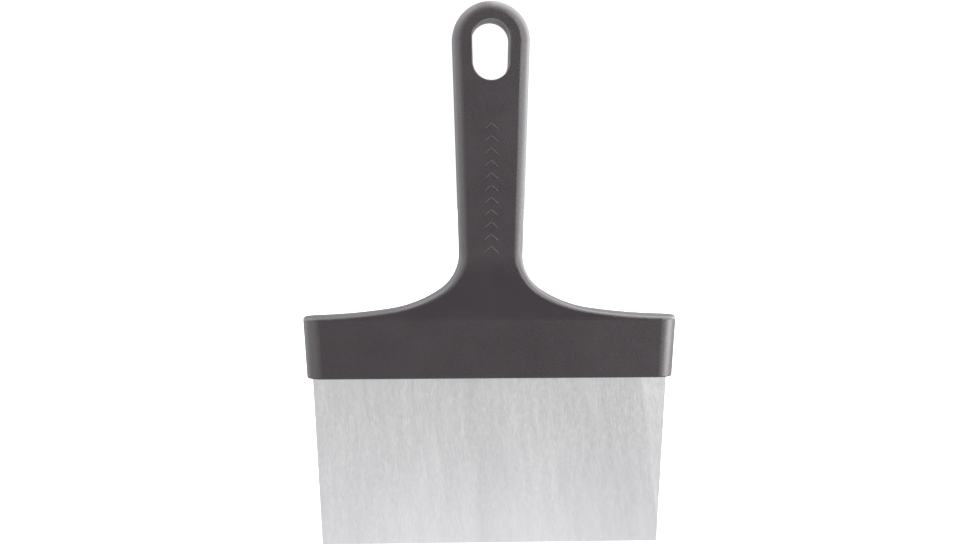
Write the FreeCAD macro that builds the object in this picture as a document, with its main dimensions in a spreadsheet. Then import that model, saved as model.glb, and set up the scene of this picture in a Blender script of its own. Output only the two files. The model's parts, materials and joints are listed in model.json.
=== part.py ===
import FreeCAD, Part
import math
import os
import re
import Sketcher
from FreeCAD import Vector

# Bench scraper: a stainless blade held along its top edge between two moulded shells that also
# form the handle. A steel tang riveted to the blade runs up inside the handle.
# Frame: the origin is the middle of the cutting edge, +Z runs up the handle, X is the width and
# the front faces -Y. The shells part on the plane Y = 0, the middle plane of the blade.

doc = FreeCAD.newDocument("bench_scraper")

# Driving dimensions in millimetres (angles in degrees): alias, value, meaning.
SIZES = [
    ("edge_half", 76.2, "half the width of the cutting edge"),
    ("blade_top_half", 80.8, "half the width of the blade at its hidden top edge"),
    ("blade_top", 97.0, "height of the blade's hidden top edge"),
    ("blade_thick", 1.5, "thickness of the blade"),
    ("blade_foot_round", 0.8, "rounding of the blade's two lower corners"),
    ("blade_head_round", 6.0, "rounding of the blade's two hidden corners"),
    ("bevel_high", 1.9, "height of the ground bevel"),
    ("bevel_deep", 0.5, "depth of the ground bevel on each face"),
    ("holder_low", 78.6, "height of the holder's lower face"),
    ("holder_half_low", 82.35, "half the width of the holder at its lower face"),
    ("holder_half_top", 83.98, "half the width of the holder at the ends of its arms"),
    ("arm_high", 106.25, "height of the arms at their ends"),
    ("holder_half_thick", 8.0, "half the thickness of the holder"),
    ("holder_corner", 7.5, "plan rounding of the holder's ends"),
    ("lip_round", 0.5, "rounding of the holder's lower lip"),
    ("crease_high", 104.85, "height where the holder's face turns into the neck"),
    ("crease_round", 6.0, "rounding inside that crease"),
    ("blend_high", 130.45, "height where the neck reaches the grip's full thickness"),
    ("blend_round", 60.0, "rounding over that blend"),
    ("grip_half_thick", 10.0, "half the thickness of the grip"),
    ("neck_high", 134.8, "height of the grip's narrowest section"),
    ("neck_half", 14.25, "half the grip's width there"),
    ("head_high", 228.1, "height of the centre of the rounded head"),
    ("head_round", 17.15, "radius of the rounded head"),
    ("flare_small", 19.65, "radius of the flare next to the grip"),
    ("flare_middle", 55.44, "radius of the middle of the flare"),
    ("flare_large", 260.8, "radius of the flare along the arm"),
    ("draft", 1.2, "draft of the outer walls in degrees"),
    ("grip_edge", 4.3, "edge rounding of the grip and its head"),
    ("flare_edge", 2.4, "edge rounding where the flare opens out"),
    ("arm_edge", 1.3, "edge rounding along the arms"),
    ("seam_bevel", 0.3, "bevel along the parting line"),
    ("slot_top_high", 228.95, "height of the upper arc of the hanging slot"),
    ("slot_top_round", 8.35, "radius of that arc"),
    ("slot_low_high", 218.8, "height of the lower arc of the hanging slot"),
    ("slot_low_round", 8.1, "radius of that arc"),
    ("slot_edge", 0.5, "edge rounding of the slot"),
    ("blade_gap", 0.05, "gap between the blade and its seat on each side"),
    ("seat_gap", 0.3, "gap around the blade's hidden edges"),
    ("holder_core", 5.2, "depth of the cores in the holder and the neck"),
    ("grip_core", 7.2, "depth of the cores in the grip"),
    ("cell_pitch", 17.6, "spacing of the cores along the holder"),
    ("cell_wide", 15.4, "width of each core along the holder"),
    ("cell_low", 82.4, "height of the lower side of the holder's cores"),
    ("cell_top", 101.5, "height of the upper side of the holder's cores"),
    ("side_cell_reach", 39.8, "how far the neck's side cores reach from the middle"),
    ("side_cell_knee", 24.1, "how far from the middle their upper side bends"),
    ("side_cell_knee_high", 110.7, "height of that bend"),
    ("side_cell_top", 120.8, "height of the side cores' upper corner"),
    ("grip_wall", 3.4, "side wall of the grip beside its cores"),
    ("grip_rib", 2.2, "thickness of the ribs between the grip's cores"),
    ("post_high", 89.5, "height of the holder's locking posts"),
    ("post_round", 3.5, "radius of the holder's locking posts"),
    ("grip_post_round", 2.6, "radius of the grip's locking posts"),
    ("post_root", 0.5, "how far a post or boss runs into the wall it stands on"),
    ("post_gap", 0.15, "radial gap between a post and the hole it passes"),
    ("post_reach", 2.7, "how far a post reaches past the parting plane"),
    ("boss_wall", 2.2, "wall of the socket around a post"),
    ("socket_deep", 3.0, "how far a socket reaches past the parting plane"),
    ("tang_half", 8.0, "half the width of the tang"),
    ("tang_thick", 2.5, "thickness of the tang"),
    ("tang_low", 83.5, "height of the tang's lower end"),
    ("tang_top", 204.5, "height of the tang's upper end"),
    ("tang_gap", 0.15, "gap around the tang"),
    ("tang_corner", 3.0, "rounding of the tang's corners"),
    ("tang_room", 1.8, "room beside the tang in the holder's middle core"),
    ("rivet_round", 2.0, "radius of a rivet's shank"),
    ("rivet_head_round", 3.6, "radius of a rivet's heads"),
    ("rivet_head_high", 1.2, "height of a rivet's heads"),
    ("rivet_crown_round", 2.6, "radius of the flat outer face of a rivet's heads"),
    ("rivet_gap", 0.05, "radial gap between a rivet and its holes"),
    ("mark_high", 0.3, "height of the raised chevrons on the grip"),
    ("mark_root", 0.1, "how far a chevron runs into the grip's face"),
    ("mark_line", 1.1, "line width of the chevrons at their root"),
    ("mark_slope", 40.0, "slope of the chevrons' sides in degrees"),
    ("mark_half", 3.0, "half the width of a chevron"),
    ("mark_rise", 2.6, "rise of a chevron from its ends to its point"),
    ("mark_pitch", 5.4, "spacing of the chevrons"),
    ("mark_low", 134.5, "height of the lowest chevron"),
]
MIDDLE_OVERLAP = 5.0    # how far a half outline is carried past the middle before it is trimmed
BEYOND = 3.0            # how far a cut reaches past what it cuts
MARK_COUNT = 11
GRIP_CELLS = 4
CELL_STEPS = 4          # cores on each side of the holder's middle
POST_STEPS = (1, 3)     # which of them carry a locking post
GRIP_POST_CELLS = (0, 2)
RIVET_SPOTS = ((0.0, 87.0), (-4.5, 94.0), (4.5, 94.0))

sheet = doc.addObject("Spreadsheet::Sheet", "Sizes")
size = {}
for row, (alias, value, meaning) in enumerate(SIZES, start=1):
    sheet.set("A%d" % row, alias)
    sheet.set("B%d" % row, str(value))
    sheet.setAlias("B%d" % row, alias)
    sheet.set("C%d" % row, meaning)
    size[alias] = value
doc.recompute()


# ---------------------------------------------------------------- sketches and features

def bound(text):
    """An expression in the sizes' aliases, as another object of the document writes it."""
    return re.sub(r"[a-z_]+", lambda word: "Sizes." + word[0] if word[0] in size else word[0], text)


def evaluate(text):
    """The value of an expression in the sizes' aliases."""
    return float(sheet.evalExpression(text))


def plane_of(body, role):
    """The body's own origin plane with this role, such as XZ_Plane."""
    return next(item for item in body.Origin.OriginFeatures if item.Role == role)


def add_sketch(body, name, role="XZ_Plane", offset=None):
    """A sketch on one of the body's planes, at a distance along the plane's normal."""
    sketch = body.newObject("Sketcher::SketchObject", name)
    sketch.AttachmentSupport = (plane_of(body, role), [""])
    sketch.MapMode = "FlatFace"
    if offset:
        sketch.setExpression("AttachmentOffset.Base.z", bound(offset))
    return sketch


def spot(x, z):
    return Vector(x, z, 0)


def away_from(centre, through, distance):
    """The point at a distance from centre, on the line through another point."""
    return centre + (through - centre).normalize() * distance


def arc_between(centre, start, end):
    """The shorter arc around centre from start to end."""
    middle = away_from(centre, (start + end) * 0.5, start.distanceToPoint(centre))
    return Part.Arc(start, middle, end)


def hold_value(sketch, kind, where, text):
    """A constraint whose value follows an expression in the sizes."""
    index = sketch.addConstraint(Sketcher.Constraint(kind, *where, evaluate(text)))
    sketch.setExpression("Constraints[%d]" % index, bound(text))


def hold_point(sketch, geometry, end, x, z):
    """Fix a point at (x, z), each an expression in the sizes; "0" puts it on the axis."""
    for kind, axis, text in (("DistanceX", -2, x), ("DistanceY", -1, z)):
        if text == "0":
            sketch.addConstraint(Sketcher.Constraint("PointOnObject", geometry, end, axis))
        else:
            hold_value(sketch, kind, (-1, 1, geometry, end), text)


def meeting_ends(sketch, first, second):
    """Which ends of two neighbouring pieces of geometry meet."""
    pairs = [(a, b) for a in (1, 2) for b in (1, 2)]
    def gap(pair):
        return sketch.getPoint(first, pair[0]).distanceToPoint(sketch.getPoint(second, pair[1]))
    return min(pairs, key=gap)


def join(sketch, kind, first, second):
    a, b = meeting_ends(sketch, first, second)
    sketch.addConstraint(Sketcher.Constraint(kind, first, a, second, b))


def polygon(sketch, corners):
    """A closed polygon; each corner is a pair of expressions in the sizes."""
    values = [spot(evaluate(x), evaluate(z)) for x, z in corners]
    first = sketch.GeometryCount
    count = len(corners)
    for i in range(count):
        sketch.addGeometry(Part.LineSegment(values[i], values[(i + 1) % count]), False)
    for i in range(count):
        after = first + (i + 1) % count
        sketch.addConstraint(Sketcher.Constraint("Coincident", first + i, 2, after, 1))
    for i in range(count):
        hold_point(sketch, first + i, 1, *corners[i])


def rectangle(sketch, left, right, low, top):
    polygon(sketch, [(left, low), (right, low), (right, top), (left, top)])


def circle(sketch, x, z, radius):
    """A circle; its centre and radius are expressions in the sizes."""
    centre = spot(evaluate(x), evaluate(z))
    index = sketch.addGeometry(Part.Circle(centre, Vector(0, 0, 1), evaluate(radius)), False)
    hold_point(sketch, index, 3, x, z)
    hold_value(sketch, "Radius", (index,), radius)


def pad(body, name, sketch, length, reverse=False, both_ways=False, taper=None):
    feature = body.newObject("PartDesign::Pad", name)
    feature.Profile = sketch
    feature.setExpression("Length", bound(length))
    feature.Reversed = reverse
    feature.SideType = "Symmetric" if both_ways else "One side"
    if taper:
        feature.setExpression("TaperAngle", bound(taper))
    doc.recompute()
    return feature


def pocket(body, name, sketch, length=None, reverse=False):
    """Cut a sketch out of the body: to a depth, or with no length right through both ways."""
    before = body.Shape.Volume
    feature = body.newObject("PartDesign::Pocket", name)
    feature.Profile = sketch
    feature.Reversed = reverse
    if length:
        feature.setExpression("Length", bound(length))
    else:
        feature.Type = "ThroughAll"
        feature.SideType = "Symmetric"
    doc.recompute()
    if body.Shape.Volume > before - 0.01:
        raise RuntimeError("%s cut nothing" % name)
    return feature


def edge_names(shape, wanted):
    """The names of the edges of a shape that a test picks."""
    return ["Edge%d" % i for i, edge in enumerate(shape.Edges, start=1) if wanted(edge)]


def round_edges(body, name, radius, wanted, kind="PartDesign::Fillet", value="Radius"):
    """Round or bevel the edges of the body's last feature that a test picks."""
    base = body.Tip
    names = edge_names(base.Shape, wanted)
    if not names:
        raise RuntimeError("%s found no edges" % name)
    feature = body.newObject(kind, name)
    feature.Base = (base, names)
    feature.setExpression(value, bound(radius))
    doc.recompute()
    return feature


def middle_of(edge):
    return edge.valueAt((edge.FirstParameter + edge.LastParameter) / 2)


def lies_at(edge, axis, value, slack=0.02):
    """Whether the whole edge lies in the plane where x, y or z has this value."""
    box = edge.BoundBox
    low, high = {"x": (box.XMin, box.XMax), "y": (box.YMin, box.YMax), "z": (box.ZMin, box.ZMax)}[axis]
    return abs(low - value) < slack and abs(high - value) < slack


# ---------------------------------------------------------------- outer form of a shell

def flare_points():
    """The flare is three tangent arcs from the neck to the arm's level end: its centres and joins."""
    head = spot(0, size["head_high"])
    neck = spot(size["neck_half"], size["neck_high"])
    end = spot(size["holder_half_top"], size["arm_high"])
    small, middle, large = size["flare_small"], size["flare_middle"], size["flare_large"]

    # The grip's side runs from the neck to the point where it touches the head's circle.
    reach = head.distanceToPoint(neck)
    lean = math.asin(size["head_round"] / reach)
    heading = math.atan2(head.y - neck.y, head.x - neck.x) - lean
    along = spot(math.cos(heading), math.sin(heading))
    touch = neck + along * math.sqrt(reach ** 2 - size["head_round"] ** 2)

    first = neck + spot(along.y, -along.x) * small
    third = end + spot(0, large)
    span = third - first
    run = span.Length
    forward = (run ** 2 + (middle - small) ** 2 - (large - middle) ** 2) / (2 * run)
    sideways = math.sqrt((middle - small) ** 2 - forward ** 2)
    span.normalize()
    second = first + span * forward + spot(span.y, -span.x) * sideways
    return {
        "head": head, "touch": touch, "neck": neck, "end": end,
        "centres": (first, second, third),
        "joins": (away_from(second, first, middle), away_from(third, second, large)),
    }


def draw_half_outline(sketch):
    """The right half of the handle's outline, carried a little past the middle."""
    flare = flare_points()
    low = size["holder_low"]
    corner = spot(size["holder_half_low"], low)
    inner = spot(-MIDDLE_OVERLAP, low)
    rise = math.sqrt(size["head_round"] ** 2 - MIDDLE_OVERLAP ** 2)
    over_head = spot(-MIDDLE_OVERLAP, size["head_high"] + rise)
    stops = (flare["neck"], *flare["joins"], flare["end"])
    sketch.addGeometry(arc_between(flare["head"], over_head, flare["touch"]), False)
    sketch.addGeometry(Part.LineSegment(flare["touch"], flare["neck"]), False)
    for i, centre in enumerate(flare["centres"]):
        sketch.addGeometry(arc_between(centre, stops[i], stops[i + 1]), False)
    sketch.addGeometry(Part.LineSegment(flare["end"], corner), False)
    sketch.addGeometry(Part.LineSegment(corner, inner), False)
    sketch.addGeometry(Part.LineSegment(inner, over_head), False)

    head, side, small, middle, large, end, floor, closing = range(8)
    for i in (head, side, small, middle):
        join(sketch, "Tangent", i, i + 1)
    for first, second in ((large, end), (end, floor), (floor, closing), (closing, head)):
        join(sketch, "Coincident", first, second)
    hold_point(sketch, head, 3, "0", "head_high")
    for arc, radius in ((head, "head_round"), (small, "flare_small"),
                        (middle, "flare_middle"), (large, "flare_large")):
        hold_value(sketch, "Radius", (arc,), radius)
    hold_point(sketch, side, 2, "neck_half", "neck_high")
    hold_point(sketch, end, 1, "holder_half_top", "arm_high")
    hold_point(sketch, end, 2, "holder_half_low", "holder_low")
    arm_end = meeting_ends(sketch, large, end)[0]
    sketch.addConstraint(Sketcher.Constraint("Vertical", large, 3, large, arm_end))
    sketch.addConstraint(Sketcher.Constraint("Horizontal", floor))
    sketch.addConstraint(Sketcher.Constraint("Vertical", closing))
    hold_value(sketch, "DistanceX", (closing, 1, -1, 1), str(MIDDLE_OVERLAP))


def draw_side_profile(sketch):
    """What is cut off the front: the holder is thinner than the grip, and the neck slopes out."""
    crease = spot(-size["holder_half_thick"], size["crease_high"])
    blend = spot(-size["grip_half_thick"], size["blend_high"])
    slope = (blend - crease).normalize()
    half_turn = math.acos(slope.y) / 2
    crease_run = size["crease_round"] * math.tan(half_turn)
    blend_run = size["blend_round"] * math.tan(half_turn)
    foot = spot(crease.x, size["holder_low"] - BEYOND)
    crease_start = crease - spot(0, crease_run)
    crease_end = crease + slope * crease_run
    blend_start = blend - slope * blend_run
    blend_end = blend + spot(0, blend_run)
    outer = blend_end - spot(BEYOND, 0)
    outer_foot = spot(outer.x, foot.y)
    crease_centre = crease_start - spot(size["crease_round"], 0)
    blend_centre = blend_end + spot(size["blend_round"], 0)
    for geometry in (
        Part.LineSegment(foot, crease_start),
        arc_between(crease_centre, crease_start, crease_end),
        Part.LineSegment(crease_end, blend_start),
        arc_between(blend_centre, blend_start, blend_end),
        Part.LineSegment(blend_end, outer),
        Part.LineSegment(outer, outer_foot),
        Part.LineSegment(outer_foot, foot),
    ):
        sketch.addGeometry(geometry, False)
    face, inside, slant, over, top, back, floor = range(7)
    for i in (face, inside, slant):
        join(sketch, "Tangent", i, i + 1)
    for i in (over, top, back):
        join(sketch, "Coincident", i, i + 1)
    join(sketch, "Coincident", floor, face)
    sketch.addConstraint(Sketcher.Constraint("Vertical", face))
    sketch.addConstraint(Sketcher.Constraint("Vertical", back))
    sketch.addConstraint(Sketcher.Constraint("Horizontal", top))
    sketch.addConstraint(Sketcher.Constraint("Horizontal", floor))
    hold_point(sketch, face, 1, "-holder_half_thick", "holder_low - %g" % BEYOND)
    hold_value(sketch, "Radius", (inside,), "crease_round")
    hold_value(sketch, "Radius", (over,), "blend_round")
    over_end = meeting_ends(sketch, over, top)[0]
    sketch.addConstraint(Sketcher.Constraint("Horizontal", over, 3, over, over_end))
    hold_value(sketch, "DistanceX", (-1, 1, over, over_end), "-grip_half_thick")
    hold_value(sketch, "DistanceX", (top, 2, top, 1), str(BEYOND))
    for y, z in (("-holder_half_thick", "crease_high"), ("-grip_half_thick", "blend_high")):
        guide = sketch.addGeometry(Part.Point(spot(evaluate(y), evaluate(z))), True)
        hold_point(sketch, guide, 1, y, z)
        sketch.addConstraint(Sketcher.Constraint("PointOnObject", guide, 1, slant))


def face_normal(face, where):
    return face.normalAt(*face.Surface.parameter(where))


def is_rim(shape, edge):
    """Whether an edge is part of the sharp rim where the front meets the outer walls."""
    where = middle_of(edge)
    faces = shape.ancestorsOfType(edge, Part.Face)
    if len(faces) != 2:
        return False
    normals = [face_normal(face, where) for face in faces]
    flat_cuts = (Vector(0, 1, 0), Vector(-1, 0, 0), Vector(0, 0, -1))
    if any(normal.dot(cut) > 0.999 for normal in normals for cut in flat_cuts):
        return False
    return normals[0].dot(normals[1]) < 0.5


def rim_radius(height):
    """The rim's rounding: full along the grip, falling along the flare to the arms."""
    joins = flare_points()["joins"]
    steps = [
        (size["neck_high"], size["grip_edge"]),
        (joins[0].y, size["flare_edge"]),
        (joins[1].y, size["arm_edge"]),
    ]
    if height >= size["neck_high"]:
        return size["grip_edge"]
    for (top, above), (low, below) in zip(steps, steps[1:]):
        if height > low:
            return below + (above - below) * (height - low) / (top - low)
    return steps[-1][1]


def make_outer_form():
    """The outer form of the front shell: one half, rounded, mirrored and joined."""
    body = doc.addObject("PartDesign::Body", "half_form")
    outline = add_sketch(body, "half_outline")
    draw_half_outline(outline)
    pad(body, "half_block", outline, "grip_half_thick", taper="-draft")

    spare = add_sketch(body, "spare_half")
    rectangle(spare, "-%g" % (MIDDLE_OVERLAP + BEYOND), "0",
              "holder_low - %g" % BEYOND, "head_high + head_round + %g" % BEYOND)
    pocket(body, "trim_at_middle", spare)

    side = add_sketch(body, "side_profile", role="YZ_Plane")
    draw_side_profile(side)
    pocket(body, "thin_the_holder", side)
    round_edges(body, "end_corner", "holder_corner",
                lambda edge: edge.BoundBox.ZLength > 20 and middle_of(edge).x > size["edge_half"]
                and middle_of(edge).y < -size["holder_half_thick"] + 0.5)
    round_edges(body, "lip", "lip_round",
                lambda edge: edge.BoundBox.ZMax < size["holder_low"] + 0.5
                and not lies_at(edge, "y", 0) and not lies_at(edge, "x", 0))

    half = doc.addObject("Part::Fillet", "rounded_half")
    half.Base = body
    half.Edges = [
        (i, rim_radius(edge.Vertexes[0].Point.z), rim_radius(edge.Vertexes[-1].Point.z))
        for i, edge in enumerate(body.Shape.Edges, start=1) if is_rim(body.Shape, edge)
    ]
    other = doc.addObject("Part::Mirroring", "other_half")
    other.Source = half
    other.Normal = Vector(1, 0, 0)
    form = doc.addObject("Part::Fuse", "outer_form")
    form.Base = half
    form.Tool = other
    form.Refine = True
    doc.recompute()
    return form


# ---------------------------------------------------------------- the two shells

def grip_side(height):
    """Half the grip's width at a height, as an expression: the side leans evenly to the head."""
    lean = "(head_round - neck_half) / (head_high - neck_high)"
    return "neck_half + %s * (%s - neck_high)" % (lean, height)


def grip_cell(index):
    """The lower and upper side of one of the grip's cores, as expressions."""
    pitch = "(slot_low_high - slot_low_round - grip_wall - neck_high) / %d" % GRIP_CELLS
    return (
        "(neck_high + grip_rib + %s * %d)" % (pitch, index),
        "(neck_high + %s * %d)" % (pitch, index + 1),
    )


def holder_posts():
    """Where the locking posts stand in the holder, as expressions."""
    return [("%scell_pitch * %d" % (sign, step), "post_high") for step in POST_STEPS for sign in ("-", "")]


def grip_posts():
    """Where the locking posts stand in the grip, as expressions."""
    return [("0", "(%s + %s) / 2" % grip_cell(cell)) for cell in GRIP_POST_CELLS]


def draw_slot(sketch):
    """The hanging slot: two arcs joined by their tangents, a little wider at the top."""
    top = spot(0, size["slot_top_high"])
    low = spot(0, size["slot_low_high"])
    lean = math.asin((size["slot_top_round"] - size["slot_low_round"]) / (top.y - low.y))
    right = spot(math.cos(lean), -math.sin(lean))
    left = spot(-right.x, right.y)
    top_left, top_right = (top + side * size["slot_top_round"] for side in (left, right))
    low_left, low_right = (low + side * size["slot_low_round"] for side in (left, right))
    over = top + spot(0, size["slot_top_round"])
    under = low - spot(0, size["slot_low_round"])
    sketch.addGeometry(Part.Arc(top_left, over, top_right), False)
    sketch.addGeometry(Part.LineSegment(top_right, low_right), False)
    sketch.addGeometry(Part.Arc(low_right, under, low_left), False)
    sketch.addGeometry(Part.LineSegment(low_left, top_left), False)
    for i in range(4):
        join(sketch, "Tangent", i, (i + 1) % 4)
    for arc, name in ((0, "slot_top"), (2, "slot_low")):
        hold_point(sketch, arc, 3, "0", name + "_high")
        hold_value(sketch, "Radius", (arc,), name + "_round")


def cut_slot(shell, face):
    """The hanging slot, its rounded mouth, and the bevel along the whole parting line."""
    slot = add_sketch(shell, shell.Label + "_slot")
    draw_slot(slot)
    pocket(shell, shell.Label + "_hang_slot", slot)
    slot_half = size["slot_top_round"] + 0.1
    slot_top = size["slot_top_high"] + slot_half
    slot_low = size["slot_low_high"] - slot_half
    round_edges(shell, shell.Label + "_slot_mouth", "slot_edge",
                lambda edge: lies_at(edge, "y", face) and abs(middle_of(edge).x) < slot_half
                and slot_low < middle_of(edge).z < slot_top)
    round_edges(shell, shell.Label + "_seam", "seam_bevel",
                lambda edge: lies_at(edge, "y", 0) and middle_of(edge).z > size["holder_low"] + 0.1,
                kind="PartDesign::Chamfer", value="Size")


def core_out(shell, inwards):
    """Hollow the shell: cores with ribs between them, open on the parting plane."""
    name = shell.Label
    cells = add_sketch(shell, name + "_holder_cores")
    for step in range(1, CELL_STEPS + 1):
        for sign in ("-", ""):
            middle = "%scell_pitch * %d" % (sign, step)
            rectangle(cells, middle + " - cell_wide / 2", middle + " + cell_wide / 2",
                      "cell_low", "cell_top")
    rectangle(cells, "-tang_half - tang_room", "tang_half + tang_room", "cell_low", "cell_top")
    pocket(shell, name + "_hollow_holder", cells, "holder_core", inwards)

    neck = add_sketch(shell, name + "_neck_cores")
    half = "(neck_half - grip_wall)"
    middle = "(cell_top + grip_rib + neck_high) / 2"
    rectangle(neck, "-" + half, half, "cell_top + grip_rib", middle)
    rectangle(neck, "-" + half, half, middle + " + grip_rib", "neck_high")
    for sign in ("-", ""):
        polygon(neck, [
            (sign + "neck_half", "cell_top + grip_rib"),
            (sign + "side_cell_reach", "cell_top + grip_rib"),
            (sign + "side_cell_reach", "crease_high"),
            (sign + "side_cell_knee", "side_cell_knee_high"),
            (sign + "neck_half", "side_cell_top"),
        ])
    pocket(shell, name + "_hollow_neck", neck, "holder_core", inwards)

    grip = add_sketch(shell, name + "_grip_cores")
    for index in range(GRIP_CELLS):
        low, top = grip_cell(index)
        right = [("(%s - grip_wall)" % grip_side(z), z) for z in (low, top)]
        left = [("-" + x, z) for x, z in reversed(right)]
        polygon(grip, right + left)
    pocket(shell, name + "_hollow_grip", grip, "grip_core", inwards)


def seat_blade(shell, inwards):
    """The seat that holds the blade's hidden part, open at the holder's lower face."""
    seat = add_sketch(shell, shell.Label + "_blade_seat")
    mouth = "(%s + seat_gap)" % blade_side("holder_low")
    shoulder = "(blade_top_half + seat_gap)"
    right = [(mouth, "holder_low - 1"), (mouth, "holder_low"), (shoulder, "blade_top + seat_gap")]
    left = [("-" + x, z) for x, z in reversed(right)]
    polygon(seat, right + left)
    pocket(shell, shell.Label + "_seat", seat, "blade_thick / 2 + blade_gap", inwards)


def blade_side(height):
    """Half the blade's width at a height, as an expression."""
    return "(edge_half + (blade_top_half - edge_half) / blade_top * %s)" % height


def start_shell(name, form):
    shell = doc.addObject("PartDesign::Body", name)
    shell.Label = name
    shell.BaseFeature = form
    doc.recompute()
    return shell


def make_front_shell(form):
    """The front shell: bosses press on the blade and the tang and take the rear shell's posts."""
    shell = start_shell("front_shell", form)
    cut_slot(shell, -size["grip_half_thick"])
    core_out(shell, inwards=True)
    seat_blade(shell, inwards=True)

    blade_face = "(blade_thick / 2 + blade_gap)"
    holder_boss = add_sketch(shell, "front_holder_bosses", offset=blade_face)
    for x, z in holder_posts():
        circle(holder_boss, x, z, "post_round + boss_wall")
    pad(shell, "front_holder_boss", holder_boss, "holder_core + post_root - " + blade_face)
    tang_face = "(blade_thick / 2 - blade_gap)"
    grip_boss = add_sketch(shell, "front_grip_bosses", offset="-" + tang_face)
    for x, z in grip_posts():
        circle(grip_boss, x, z, "grip_post_round + boss_wall")
    pad(shell, "front_grip_boss", grip_boss, "grip_core + post_root + " + tang_face)

    sockets = add_sketch(shell, "front_sockets", offset="-blade_thick")
    for x, z in holder_posts():
        circle(sockets, x, z, "post_round + post_gap")
    for x, z in grip_posts():
        circle(sockets, x, z, "grip_post_round + post_gap")
    pocket(shell, "front_socket", sockets, "socket_deep + blade_thick", True)

    chevrons = add_sketch(shell, "chevron_outlines", offset="grip_half_thick - mark_root")
    for index in range(MARK_COUNT):
        foot = "mark_low + mark_pitch * %d" % index
        polygon(chevrons, [
            ("-mark_half", foot), ("0", foot + " + mark_rise"), ("mark_half", foot),
            ("mark_half", foot + " + mark_line"), ("0", foot + " + mark_rise + mark_line"),
            ("-mark_half", foot + " + mark_line"),
        ])
    pad(shell, "chevrons", chevrons, "mark_high + mark_root", taper="-mark_slope")
    return shell


def make_rear_shell(form):
    """The rear shell: the tang lies in its channel, and its posts lock the blade and the tang."""
    mirrored = doc.addObject("Part::Mirroring", "rear_form")
    mirrored.Source = form
    mirrored.Normal = Vector(0, 1, 0)
    doc.recompute()
    shell = start_shell("rear_shell", mirrored)
    cut_slot(shell, size["grip_half_thick"])
    core_out(shell, inwards=False)
    channel = add_sketch(shell, "tang_channel_outline")
    rectangle(channel, "-tang_half - tang_gap", "tang_half + tang_gap",
              "tang_low - tang_gap", "tang_top + tang_gap")
    tang_back = "(blade_thick / 2 + tang_thick + tang_gap)"
    pocket(shell, "tang_channel", channel, tang_back)
    seat_blade(shell, inwards=False)

    blade_face = "(blade_thick / 2 + blade_gap)"
    for name, spots, radius, floor, shoulder in (
        ("holder", holder_posts(), "post_round", "holder_core", blade_face),
        ("grip", grip_posts(), "grip_post_round", "grip_core", tang_back),
    ):
        bosses = add_sketch(shell, "rear_%s_bosses" % name, offset="-" + shoulder)
        for x, z in spots:
            circle(bosses, x, z, radius + " + boss_wall")
        pad(shell, "rear_%s_boss" % name, bosses, "%s + post_root - %s" % (floor, shoulder), True)
        posts = add_sketch(shell, "rear_%s_posts" % name, offset="post_reach")
        for x, z in spots:
            circle(posts, x, z, radius)
        pad(shell, "rear_%s_post" % name, posts, "%s + post_reach" % floor, True)
    return shell


# ---------------------------------------------------------------- the steel parts

def make_blade():
    """The blade: a tapering plate, ground to a bevel on both faces, with holes in its hidden part."""
    blade = doc.addObject("PartDesign::Body", "blade")
    outline = add_sketch(blade, "blade_outline")
    polygon(outline, [
        ("-edge_half", "0"), ("edge_half", "0"),
        ("blade_top_half", "blade_top"), ("-blade_top_half", "blade_top"),
    ])
    pad(blade, "plate", outline, "blade_thick", both_ways=True)
    thick = size["blade_thick"]
    for name, radius, low, top in (
        ("lower_corners", "blade_foot_round", -1, 1),
        ("hidden_corners", "blade_head_round", size["blade_top"] - 1, size["blade_top"] + 1),
    ):
        round_edges(blade, name, radius,
                    lambda edge: edge.BoundBox.YLength > thick - 0.01 and low < middle_of(edge).z < top)

    holes = add_sketch(blade, "blade_holes")
    for x, z in holder_posts():
        circle(holes, x, z, "post_round + post_gap")
    draw_rivet_holes(holes)
    pocket(blade, "holes", holes)

    bevel = add_sketch(blade, "bevel_profile", role="YZ_Plane")
    for sign in ("-", ""):
        face = sign + "(blade_thick / 2)"
        edge = sign + "(blade_thick / 2 - bevel_deep)"
        outside = sign + "(blade_thick / 2 + 1)"
        polygon(bevel, [(face, "bevel_high"), (edge, "0"), (edge, "-1"), (outside, "-1"),
                        (outside, "bevel_high")])
    pocket(blade, "ground_bevel", bevel)
    return blade


def draw_rivet_holes(sketch):
    for x, z in RIVET_SPOTS:
        circle(sketch, "0" if x == 0 else str(x), str(z), "rivet_round + rivet_gap")


def make_tang():
    """The tang: a flat bar behind the blade, riveted to it and running up inside the grip."""
    tang = doc.addObject("PartDesign::Body", "tang")
    outline = add_sketch(tang, "tang_outline", offset="-blade_thick / 2")
    rectangle(outline, "-tang_half", "tang_half", "tang_low", "tang_top")
    pad(tang, "bar", outline, "tang_thick", reverse=True)
    long_side = size["tang_thick"]
    round_edges(tang, "bar_corners", "tang_corner",
                lambda edge: abs(edge.BoundBox.YLength - long_side) < 0.01)
    holes = add_sketch(tang, "tang_holes", offset="-blade_thick / 2")
    for x, z in grip_posts():
        circle(holes, x, z, "grip_post_round + post_gap")
    draw_rivet_holes(holes)
    pocket(tang, "bar_holes", holes)
    return tang


def place_along_y(item, x, y, z, turn=-90):
    """Stand a round primitive along Y (or with turn 90 along -Y) from a point; y is an expression."""
    item.Placement.Rotation = FreeCAD.Rotation(Vector(1, 0, 0), turn)
    item.Placement.Base = Vector(x, 0, z)
    item.setExpression("Placement.Base.y", bound(y))


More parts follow.
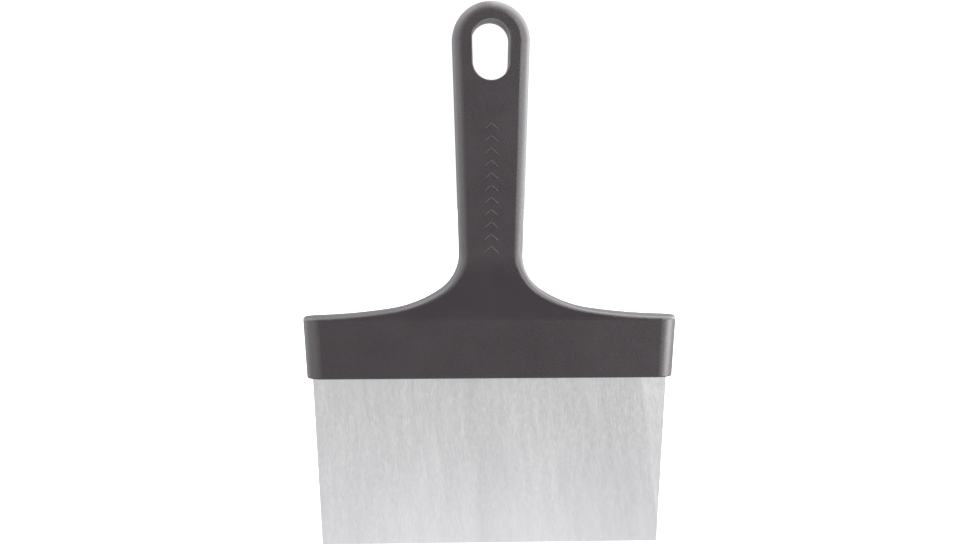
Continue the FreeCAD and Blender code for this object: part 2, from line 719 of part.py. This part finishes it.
def make_rivet(index, x, z):
    """One rivet: a shank through the blade and the tang, with a tapered head on each side."""
    front = "-blade_thick / 2"
    back = "blade_thick / 2 + tang_thick"
    shank = doc.addObject("Part::Cylinder", "rivet_shank_%d" % index)
    shank.setExpression("Radius", bound("rivet_round"))
    shank.setExpression("Height", bound("blade_thick + tang_thick"))
    place_along_y(shank, x, front, z)
    pieces = [shank]
    for name, y, turn in (("front", front, 90), ("back", back, -90)):
        head = doc.addObject("Part::Cone", "rivet_%s_head_%d" % (name, index))
        head.setExpression("Radius1", bound("rivet_head_round"))
        head.setExpression("Radius2", bound("rivet_crown_round"))
        head.setExpression("Height", bound("rivet_head_high"))
        place_along_y(head, x, y, z, turn)
        pieces.append(head)
    rivet = doc.addObject("Part::MultiFuse", "rivet_%d" % index)
    rivet.Shapes = pieces
    return rivet


def make_rivets():
    group = doc.addObject("Part::Compound", "tang_rivets")
    group.Links = [make_rivet(i, x, z) for i, (x, z) in enumerate(RIVET_SPOTS, start=1)]
    return group


# ---------------------------------------------------------------- build, check and write

outer_form = make_outer_form()
nodes = [
    make_front_shell(outer_form),
    make_rear_shell(outer_form),
    make_blade(),
    make_tang(),
    make_rivets(),
]
doc.recompute()

for item in doc.Objects:
    if "Invalid" in item.State or "Error" in item.State:
        raise RuntimeError("%s failed: %s" % (item.Label, item.State))
os.makedirs("parts", exist_ok=True)
for node in nodes:
    shape = node.Shape
    if shape.isNull() or not shape.isValid():
        raise RuntimeError("%s has no valid shape" % node.Label)
    box = shape.BoundBox
    print("%-12s %d solid(s) %9.1f mm3  x %.2f..%.2f  y %.2f..%.2f  z %.2f..%.2f" % (
        node.Label, len(shape.Solids), shape.Volume,
        box.XMin, box.XMax, box.YMin, box.YMax, box.ZMin, box.ZMax))
    shape.exportStep("parts/%s.step" % node.Label)
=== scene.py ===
import json
import math

import bpy
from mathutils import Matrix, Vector


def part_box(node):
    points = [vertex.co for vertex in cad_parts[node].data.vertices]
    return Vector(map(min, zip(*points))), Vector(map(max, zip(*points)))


# Bench scraper in a plain studio. The CAD solids carry the whole shape; this script gives them
# their plastic and steel, and sets the floor, the lights and the camera.
# Everything is in metres in the part's own frame: the origin is the middle of the cutting edge,
# +Z runs up the handle and the front faces -Y.

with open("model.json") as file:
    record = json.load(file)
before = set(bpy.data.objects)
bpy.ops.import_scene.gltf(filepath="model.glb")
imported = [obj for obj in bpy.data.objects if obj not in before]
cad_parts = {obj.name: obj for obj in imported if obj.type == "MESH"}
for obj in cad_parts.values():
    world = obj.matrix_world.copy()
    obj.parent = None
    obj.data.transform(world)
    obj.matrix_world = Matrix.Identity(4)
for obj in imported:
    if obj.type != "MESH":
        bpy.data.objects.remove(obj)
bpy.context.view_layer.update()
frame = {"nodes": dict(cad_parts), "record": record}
MM = 0.001

# The holder's lower lip, where the blade comes out.
HOLDER_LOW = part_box("front_shell")[0].z


# ---------------------------------------------------------------- node helpers

class Graph:
    """A material's or world's node tree, with short calls that make a node and link its inputs."""

    def __init__(self, tree):
        self.tree = tree
        tree.nodes.clear()

    def fill(self, socket, value):
        """Link another node's output to the socket, or set the socket's own value."""
        if isinstance(value, bpy.types.NodeSocket):
            self.tree.links.new(value, socket)
        elif isinstance(value, tuple) and len(value) == 3 and len(socket.default_value) == 4:
            socket.default_value = (*value, 1.0)
        else:
            socket.default_value = value

    def node(self, kind, inputs=None, **settings):
        made = self.tree.nodes.new(kind)
        for name, value in settings.items():
            setattr(made, name, value)
        for name, value in (inputs or {}).items():
            self.fill(made.inputs[name], value)
        return made

    def math(self, operation, *values):
        return self.node("ShaderNodeMath", dict(enumerate(values)), operation=operation).outputs[0]

    def noise(self, where, scale, detail=2.0, roughness=0.5):
        """A pattern with about scale features per unit of the place that it is given."""
        inputs = {"Vector": where, "Scale": scale, "Detail": detail, "Roughness": roughness}
        return self.node("ShaderNodeTexNoise", inputs).outputs["Fac"]

    def remap(self, value, low, high, to_low=0.0, to_high=1.0, smooth=False):
        """The value's way from low to high, held at both ends and laid over another range."""
        kind = "SMOOTHSTEP" if smooth else "LINEAR"
        inputs = {"Value": value, "From Min": low, "From Max": high, "To Min": to_low, "To Max": to_high}
        return self.node("ShaderNodeMapRange", inputs, interpolation_type=kind).outputs[0]

    def spread(self, noise, to_low=0.0, to_high=1.0):
        """A noise's usual range, about 0.3 to 0.7, stretched over another range."""
        return self.remap(noise, 0.3, 0.7, to_low, to_high)

    def blend(self, factor, first, second):
        """A number between two others."""
        inputs = {"Factor": factor, "A": first, "B": second}
        return self.node("ShaderNodeMix", inputs, data_type="FLOAT").outputs[0]

    def mix(self, factor, first, second, how="MIX"):
        """A colour between two others, or the first multiplied by the second."""
        first_colour, second_colour, result = 6, 7, 2    # the colour sockets of a mix node
        made = self.node("ShaderNodeMix", {"Factor": factor, first_colour: first, second_colour: second},
                         data_type="RGBA", blend_type=how)
        return made.outputs[result]

    def ramp(self, value, stops):
        """A grey tone that follows value through stops of (value from 0 to 1, tone)."""
        made = self.node("ShaderNodeValToRGB", {"Fac": value})
        points = made.color_ramp.elements
        while len(points) < len(stops):
            points.new(1.0)
        for point, (position, tone) in zip(points, stops):
            point.position = position
            point.color = (tone, tone, tone, 1.0)
        return made.outputs["Color"]

    def bump(self, height, distance, strength=1.0, normal=None):
        inputs = {"Height": height, "Distance": distance, "Strength": strength}
        if normal is not None:
            inputs["Normal"] = normal
        return self.node("ShaderNodeBump", inputs).outputs[0]


def new_material(name):
    """A material, its graph, its shader node and the coordinates its patterns are laid out in."""
    material = bpy.data.materials.new(name)
    material.use_nodes = True
    graph = Graph(material.node_tree)
    shader = graph.node("ShaderNodeBsdfPrincipled")
    graph.node("ShaderNodeOutputMaterial", {"Surface": shader.outputs[0]})
    where = graph.node("ShaderNodeTexCoord").outputs["Object"]
    return material, graph, shader, where


def plug(graph, shader, **sockets):
    """Link or set the shader's sockets; an underscore in a name stands for a space."""
    for name, value in sockets.items():
        graph.fill(shader.inputs[name.replace("_", " ")], value)


# ---------------------------------------------------------------- handle plastic

# The grip's waist, the neck just above the slab, lies between these heights. Painted shade darkens it there,
# and its gloss is a little smoother.
WAIST_LOW = 105.5 * MM
WAIST_LOW_EDGE = 1.5 * MM
WAIST_TOP = 129.0 * MM
WAIST_TOP_EDGE = 6.0 * MM
NECK_SHADE_SHARE = 0.4
WAIST_SMOOTHER = -0.08
# The raised chevrons get a painted highlight, a lighter tone. The flat that these stand on is 10 mm in front
# of the middle plane.
CHEVRON_SLOPE = (-10.05 * MM, -10.2 * MM)
CHEVRON_HIGHLIGHT_SHARE = 0.8

# Scales of the patterns in features per metre, and the depths of those that stand in relief.
GRAIN_SCALE = 2600.0
PORE_SCALE = 900.0
WEAR_SCALE = 160.0
TINT_SCALE = 110.0
FLOW_SCALE = 45.0
GRAIN_DEPTH = 0.035 * MM
PORE_DEPTH = 0.05 * MM

FLOW_DARK = (0.0062, 0.0033, 0.0037)
FLOW_PALE = (0.0112, 0.0066, 0.0077)
COLD_TINT = (0.0076, 0.0050, 0.0095)
NECK_PAINTED_SHADE = (0.0042, 0.0020, 0.0044)
WORN_TONE = (0.018, 0.015, 0.0165)
CHEVRON_PAINTED_HIGHLIGHT = (0.017, 0.014, 0.015)
# Where in a noise's range a tone starts to show and is full, and its share at both.
TINT_FROM_NOISE = (0.35, 0.65, 0.0, 0.6)
WORN_FROM_NOISE = (0.62, 0.8, 0.0, 0.35)
PLASTIC_ROUGH = (0.24, 0.34)
FLOW_ROUGH = 0.03
PLASTIC_IOR = 1.5


def handle_plastic():
    """Dark grey moulded plastic: spark-eroded grain and faint flow marks, smoother at the waist, with painted
    shade on the waist and a painted highlight on the raised chevrons.
    """
    material, graph, shader, where = new_material("handle_plastic")
    _, depth, height = graph.node("ShaderNodeSeparateXYZ", {"Vector": where}).outputs
    grain = graph.noise(where, GRAIN_SCALE, detail=3.0, roughness=0.6)
    pores = graph.noise(where, PORE_SCALE)
    flow = graph.noise(where, FLOW_SCALE, detail=4.0, roughness=0.6)
    tint = graph.noise(where, TINT_SCALE, detail=3.0)
    worn = graph.noise(where, WEAR_SCALE, detail=5.0, roughness=0.7)
    neck_band = graph.math(
        "MULTIPLY",
        graph.remap(height, WAIST_LOW - WAIST_LOW_EDGE, WAIST_LOW + WAIST_LOW_EDGE, smooth=True),
        graph.remap(height, WAIST_TOP + WAIST_TOP_EDGE, WAIST_TOP - WAIST_TOP_EDGE, smooth=True),
    )
    chevron_highlight = graph.remap(depth, *CHEVRON_SLOPE, 0.0, CHEVRON_HIGHLIGHT_SHARE)

    colour = graph.mix(flow, FLOW_DARK, FLOW_PALE)
    colour = graph.mix(graph.remap(tint, *TINT_FROM_NOISE), colour, COLD_TINT)
    # Painted shade: the waist is darkened.
    colour = graph.mix(graph.math("MULTIPLY", neck_band, NECK_SHADE_SHARE), colour, NECK_PAINTED_SHADE)
    colour = graph.mix(graph.remap(worn, *WORN_FROM_NOISE), colour, WORN_TONE)
    # Painted highlight: the raised chevrons are lighter.
    colour = graph.mix(chevron_highlight, colour, CHEVRON_PAINTED_HIGHLIGHT)
    patches = graph.spread(flow, -FLOW_ROUGH, FLOW_ROUGH)
    rough = graph.math("ADD", graph.spread(grain, *PLASTIC_ROUGH), patches)
    rough = graph.math("MULTIPLY_ADD", neck_band, WAIST_SMOOTHER, rough)
    normal = graph.bump(grain, GRAIN_DEPTH, 0.6, graph.bump(pores, PORE_DEPTH, 0.5))
    plug(graph, shader, Base_Color=colour, Roughness=rough, Normal=normal, IOR=PLASTIC_IOR)
    return material


# ---------------------------------------------------------------- steel

# Passes of the belt over the blade: how far right the middle of each band lies in millimetres, and
# its share of the steel's tone. The last is a painted reflection of the light on the right: a paler strip
# along the right side.
BELT_BANDS_AND_SHEEN = (
    (-80, 0.84), (-70, 0.88), (-60, 0.885), (-27, 0.955), (-14, 0.93), (-7, 0.945), (-3, 0.895),
    (2, 0.91), (22, 0.965), (45, 0.895), (64, 0.865), (77.4, 0.885), (78.4, 0.95),
)
BELT_HALF = 90.0    # how far the bands reach to each side

# How far the strokes lean per metre of height in the blade's middle, and how much more they do for
# each metre to its right.
STROKE_LEAN = 0.092
STROKE_FAN = 0.44
# Scratches per metre across the strokes and along them, and their shares of the streaks' tone.
FINE_SCRATCHES = (2300.0, 700.0)
MIDDLE_SCRATCHES = (1100.0, 290.0)
BROAD_SCRATCHES = (260.0, 36.0)
FINE_SHARE = 0.4
MIDDLE_SHARE = 0.35
BROAD_SHARE = 0.25
SCRATCH_DEPTH = 0.02 * MM

# Tones of the brushed faces at the holder's lower lip and at the cutting edge. The change from one to the
# other is a painted reflection.
DULL_AT_LIP = (0.588, 0.588, 0.588)
DULL_AT_EDGE = (0.631, 0.628, 0.651)
BRIGHT_AT_LIP = (0.658, 0.658, 0.658)
BRIGHT_AT_EDGE = (0.705, 0.700, 0.724)
# The ground bevels end 1.9 mm above the edge, and the tone changes across that line.
GROUND_TONE = (0.9, 0.9, 0.9)
GROUND_END = (1.95 * MM, 1.75 * MM)
BLADE_ROUGH = (0.17, 0.27)


def blade_steel():
    """Stainless sheet brushed along its height, with the lean and the fan of a belt's strokes, and painted
    reflections: paler and colder towards the edge and along the right side.
    """
    material, graph, shader, where = new_material("blade_steel")
    x, y, z = graph.node("ShaderNodeSeparateXYZ", {"Vector": where}).outputs
    lean = graph.math("MULTIPLY_ADD", x, STROKE_FAN, STROKE_LEAN)
    across = graph.math("MULTIPLY_ADD", z, lean, x)

    def strokes(per_metre, along):
        """Noise drawn out along the strokes: its scale across them and along them."""
        vector = graph.node("ShaderNodeCombineXYZ", {
            "X": graph.math("MULTIPLY", across, per_metre),
            "Y": graph.math("MULTIPLY", y, per_metre),
            "Z": graph.math("MULTIPLY", z, along),
        }).outputs[0]
        return graph.noise(vector, 1.0, roughness=0.6)

    fine = strokes(*FINE_SCRATCHES)
    middle = strokes(*MIDDLE_SCRATCHES)
    broad = strokes(*BROAD_SCRATCHES)
    streak = graph.math("MULTIPLY_ADD", middle, MIDDLE_SHARE, graph.math("MULTIPLY", fine, FINE_SHARE))
    streak = graph.math("MULTIPLY_ADD", broad, BROAD_SHARE, streak)

    # Painted reflection: the steel grows a little colder and paler towards the edge.
    painted_edge_reflection = graph.remap(z, HOLDER_LOW, 0.0)
    dull = graph.mix(painted_edge_reflection, DULL_AT_LIP, DULL_AT_EDGE)
    bright = graph.mix(painted_edge_reflection, BRIGHT_AT_LIP, BRIGHT_AT_EDGE)
    steel = graph.mix(graph.spread(streak), dull, bright)
    # Belt bands, and a painted reflection along the right side.
    bands = graph.ramp(
        graph.remap(across, -BELT_HALF * MM, BELT_HALF * MM),
        [(0.5 + 0.5 * place / BELT_HALF, tone) for place, tone in BELT_BANDS_AND_SHEEN],
    )
    steel = graph.mix(1.0, steel, bands, "MULTIPLY")

    # The ground edge is brighter than the faces.
    colour = graph.mix(graph.remap(z, *GROUND_END), steel, GROUND_TONE)

    # Only the finer scratches stand in relief.
    scratches = graph.math("ADD", graph.math("MULTIPLY", fine, 0.5), graph.math("MULTIPLY", middle, 0.5))
    plug(graph, shader, Base_Color=colour, Metallic=1.0, Roughness=graph.spread(streak, *BLADE_ROUGH),
         Normal=graph.bump(scratches, SCRATCH_DEPTH, 0.5))
    return material


# The mottle of the hidden pieces: features per metre, relief, and how much it changes the gloss.
MOTTLE_SCALE = 350.0
MOTTLE_DEPTH = 0.02 * MM
MOTTLE_ROUGH = 0.06


def plain_steel(name, tone, roughness):
    """Mill-finish steel of the hidden tang and its rivets."""
    material, graph, shader, where = new_material(name)
    mottle = graph.noise(where, MOTTLE_SCALE, detail=4.0, roughness=0.6)
    colour = graph.mix(mottle, (tone * 0.85,) * 3, (tone * 1.1,) * 3)
    rough = graph.spread(mottle, roughness - MOTTLE_ROUGH, roughness + MOTTLE_ROUGH)
    plug(graph, shader, Base_Color=colour, Metallic=1.0, Roughness=rough,
         Normal=graph.bump(mottle, MOTTLE_DEPTH, 0.4))
    return material


finishes = {
    "handle_plastic": handle_plastic(),
    "blade_steel": blade_steel(),
    "tang_steel": plain_steel("tang_steel", tone=0.5, roughness=0.42),
    "rivet_steel": plain_steel("rivet_steel", tone=0.55, roughness=0.32),
}
for part in frame["record"]["subparts"]:
    mesh = frame["nodes"][part["node"]].data
    mesh.materials.clear()
    mesh.materials.append(finishes[part["material_slot"]])


# ---------------------------------------------------------------- floor and backdrop

FLOOR_RADIUS = 6.0
FLOOR_SCALE = 6.0
FLOOR_TONES = ((0.40, 0.40, 0.40), (0.42, 0.42, 0.42))
BACKDROP_RADIUS = 8.0
BACKDROP_GLOW = 1.02


def pale_stage():
    """A wide round floor and a white backdrop all round it, which neither light the object nor show in it."""
    bpy.ops.mesh.primitive_circle_add(vertices=96, radius=FLOOR_RADIUS, fill_type="NGON")
    floor = bpy.context.object
    floor.name = "floor"
    material, graph, shader, where = new_material("floor_white")
    tone = graph.noise(where, FLOOR_SCALE)
    plug(graph, shader, Base_Color=graph.mix(tone, *FLOOR_TONES), Roughness=0.8)
    floor.data.materials.append(material)

    bpy.ops.mesh.primitive_uv_sphere_add(segments=48, ring_count=24, radius=BACKDROP_RADIUS)
    backdrop = bpy.context.object
    backdrop.name = "backdrop"
    material, graph, shader, _ = new_material("backdrop_white")
    plug(graph, shader, Base_Color=(0.0, 0.0, 0.0), Emission_Color=(1.0, 1.0, 1.0),
         Emission_Strength=BACKDROP_GLOW)
    backdrop.data.materials.append(material)
    backdrop.visible_shadow = False
    for item in (floor, backdrop):
        item.visible_diffuse = False
        item.visible_glossy = False


# ---------------------------------------------------------------- light

# Radiance of the light tent's wall by azimuth in degrees: 0 is the camera's side, 90 the right.
# The right has one strong panel and the left a weaker, wider one. Its upper and lower half differ.
WALL_ABOVE = (
    (-180, 0.5), (-158, 0.55), (-140, 1.6), (-120, 3.4), (-80, 3.8), (-50, 3.5), (-30, 2.6), (-16, 1.9),
    (-5, 0.72), (7, 0.72), (15, 2.6), (24, 7.4), (36, 6.4), (50, 5.3), (64, 5.3), (80, 6.8), (100, 8.2),
    (115, 7.8), (130, 5.4), (145, 2.1), (158, 0.8), (180, 0.5),
)
WALL_BELOW = (
    (-180, 0.3), (-158, 0.35), (-140, 0.9), (-120, 2.5), (-75, 2.9), (-45, 3.2), (-16, 2.0), (-5, 0.8),
    (10, 0.8), (25, 1.0), (42, 5.5), (57, 14.0), (74, 16.0), (90, 10.5), (104, 3.4), (130, 1.6),
    (158, 0.5), (180, 0.3),
)
BRIGHTEST = 16.0

# Heights are the upward part of a direction: -1 is straight down, 0 level and 1 straight up.
WALL_FOOT = (-0.36, -0.18)      # where the wall's panels fade in
HALVES_MEET = (-0.12, -0.055)   # where the lower half of the wall gives way to the upper one
ROOF_EAVES = (math.sin(math.radians(12)), math.sin(math.radians(60)))   # and the wall to the roof

# The roof's tone from the camera's side (-1) over the zenith (0) to the back (1), and its share of
# that from the left (0) to the right (1): two panels with a gap a little left of the middle.
ROOF = 7.5
ROOF_FADE = ((-0.75, 0.6), (-0.45, 0.78), (-0.2, 1.0), (0.1, 0.95), (0.4, 0.74), (0.8, 0.4), (1.0, 0.35))
ROOF_GAP = ((0.33, 0.8), (0.4, 0.55), (0.47, 0.6), (0.54, 1.15))

BOUNCE = 1.3        # what comes back from the floor near the horizon
BOUNCE_HEIGHTS = (-0.05, -0.35)
FLOOR_SHEEN = 2.2   # and from the floor right under the object
SHEEN_HEIGHTS = (-0.4, -0.8)
# Where the bounce from behind (by y) and from beside (by x) starts and stops growing duller, and its
# share at both.
BEHIND = (0.2, 0.8, 1.0, 0.65)
BESIDE = (0.25, 0.6, 1.0, 0.75)


def studio():
    """A tent of soft light that is part of the world, so it lights every point of the object alike."""
    world = bpy.data.worlds.new("studio")
    bpy.context.scene.world = world
    world.use_nodes = True
    graph = Graph(world.node_tree)
    direction = graph.node("ShaderNodeTexCoord").outputs["Generated"]
    x, y, z = graph.node("ShaderNodeSeparateXYZ", {"Vector": direction}).outputs

    azimuth = graph.remap(
        graph.math("ARCTAN2", x, graph.math("MULTIPLY", y, -1.0)), -math.pi, math.pi)
    above, below = (
        graph.ramp(azimuth, [(0.5 + degrees / 360, level / BRIGHTEST) for degrees, level in half])
        for half in (WALL_ABOVE, WALL_BELOW)
    )
    wall = graph.blend(graph.remap(z, *HALVES_MEET, smooth=True), below, above)
    wall = graph.math("MULTIPLY", wall, graph.remap(z, *WALL_FOOT, 0.0, BRIGHTEST, smooth=True))

    # Below the panels only the floor shines, a little less behind the object and beside it.
    bounce = graph.remap(z, *BOUNCE_HEIGHTS, 0.0, BOUNCE, smooth=True)
    bounce = graph.math("ADD", bounce, graph.remap(z, *SHEEN_HEIGHTS, 0.0, FLOOR_SHEEN - BOUNCE))
    bounce = graph.math("MULTIPLY", bounce, graph.remap(y, *BEHIND))
    bounce = graph.math("MULTIPLY", bounce, graph.remap(graph.math("ABSOLUTE", x), *BESIDE))
    wall = graph.math("MAXIMUM", wall, bounce)

    gap = graph.ramp(graph.remap(x, -1.0, 1.0), ROOF_GAP)
    fade = graph.ramp(graph.remap(y, -1.0, 1.0), [(0.5 + 0.5 * place, tone) for place, tone in ROOF_FADE])
    roof = graph.math("MULTIPLY", graph.math("MULTIPLY", fade, ROOF), gap)
    strength = graph.blend(graph.remap(z, *ROOF_EAVES, smooth=True), wall, roof)
    sky = graph.node("ShaderNodeBackground", {"Color": (1.0, 1.0, 1.0), "Strength": strength})
    graph.node("ShaderNodeOutputWorld", {"Surface": sky.outputs[0]})


# ---------------------------------------------------------------- camera

CAMERA_AZIMUTH = math.radians(-2.42)
CAMERA_ELEVATION = math.radians(4.563)
CAMERA_DISTANCE = 0.5487
CAMERA_TARGET = Vector((-0.63, 0.0, 124.5)) * MM
FOCAL_LENGTH = 44.92
SENSOR_WIDTH = 36.0


def camera():
    """Square to the front but for 2.4 degrees to the left and 4.6 above."""
    lens = bpy.data.cameras.new("camera")
    lens.sensor_width = SENSOR_WIDTH
    lens.lens = FOCAL_LENGTH
    lens.clip_start = 0.01
    lens.clip_end = 50.0
    eye = bpy.data.objects.new("camera", lens)
    bpy.context.scene.collection.objects.link(eye)
    back = Vector((
        math.sin(CAMERA_AZIMUTH) * math.cos(CAMERA_ELEVATION),
        -math.cos(CAMERA_AZIMUTH) * math.cos(CAMERA_ELEVATION),
        math.sin(CAMERA_ELEVATION),
    ))
    eye.location = CAMERA_TARGET + back * CAMERA_DISTANCE
    eye.rotation_euler = (-back).to_track_quat("-Z", "Y").to_euler()
    bpy.context.scene.camera = eye


pale_stage()
studio()
camera()
bpy.context.scene.view_settings.view_transform = "Standard"
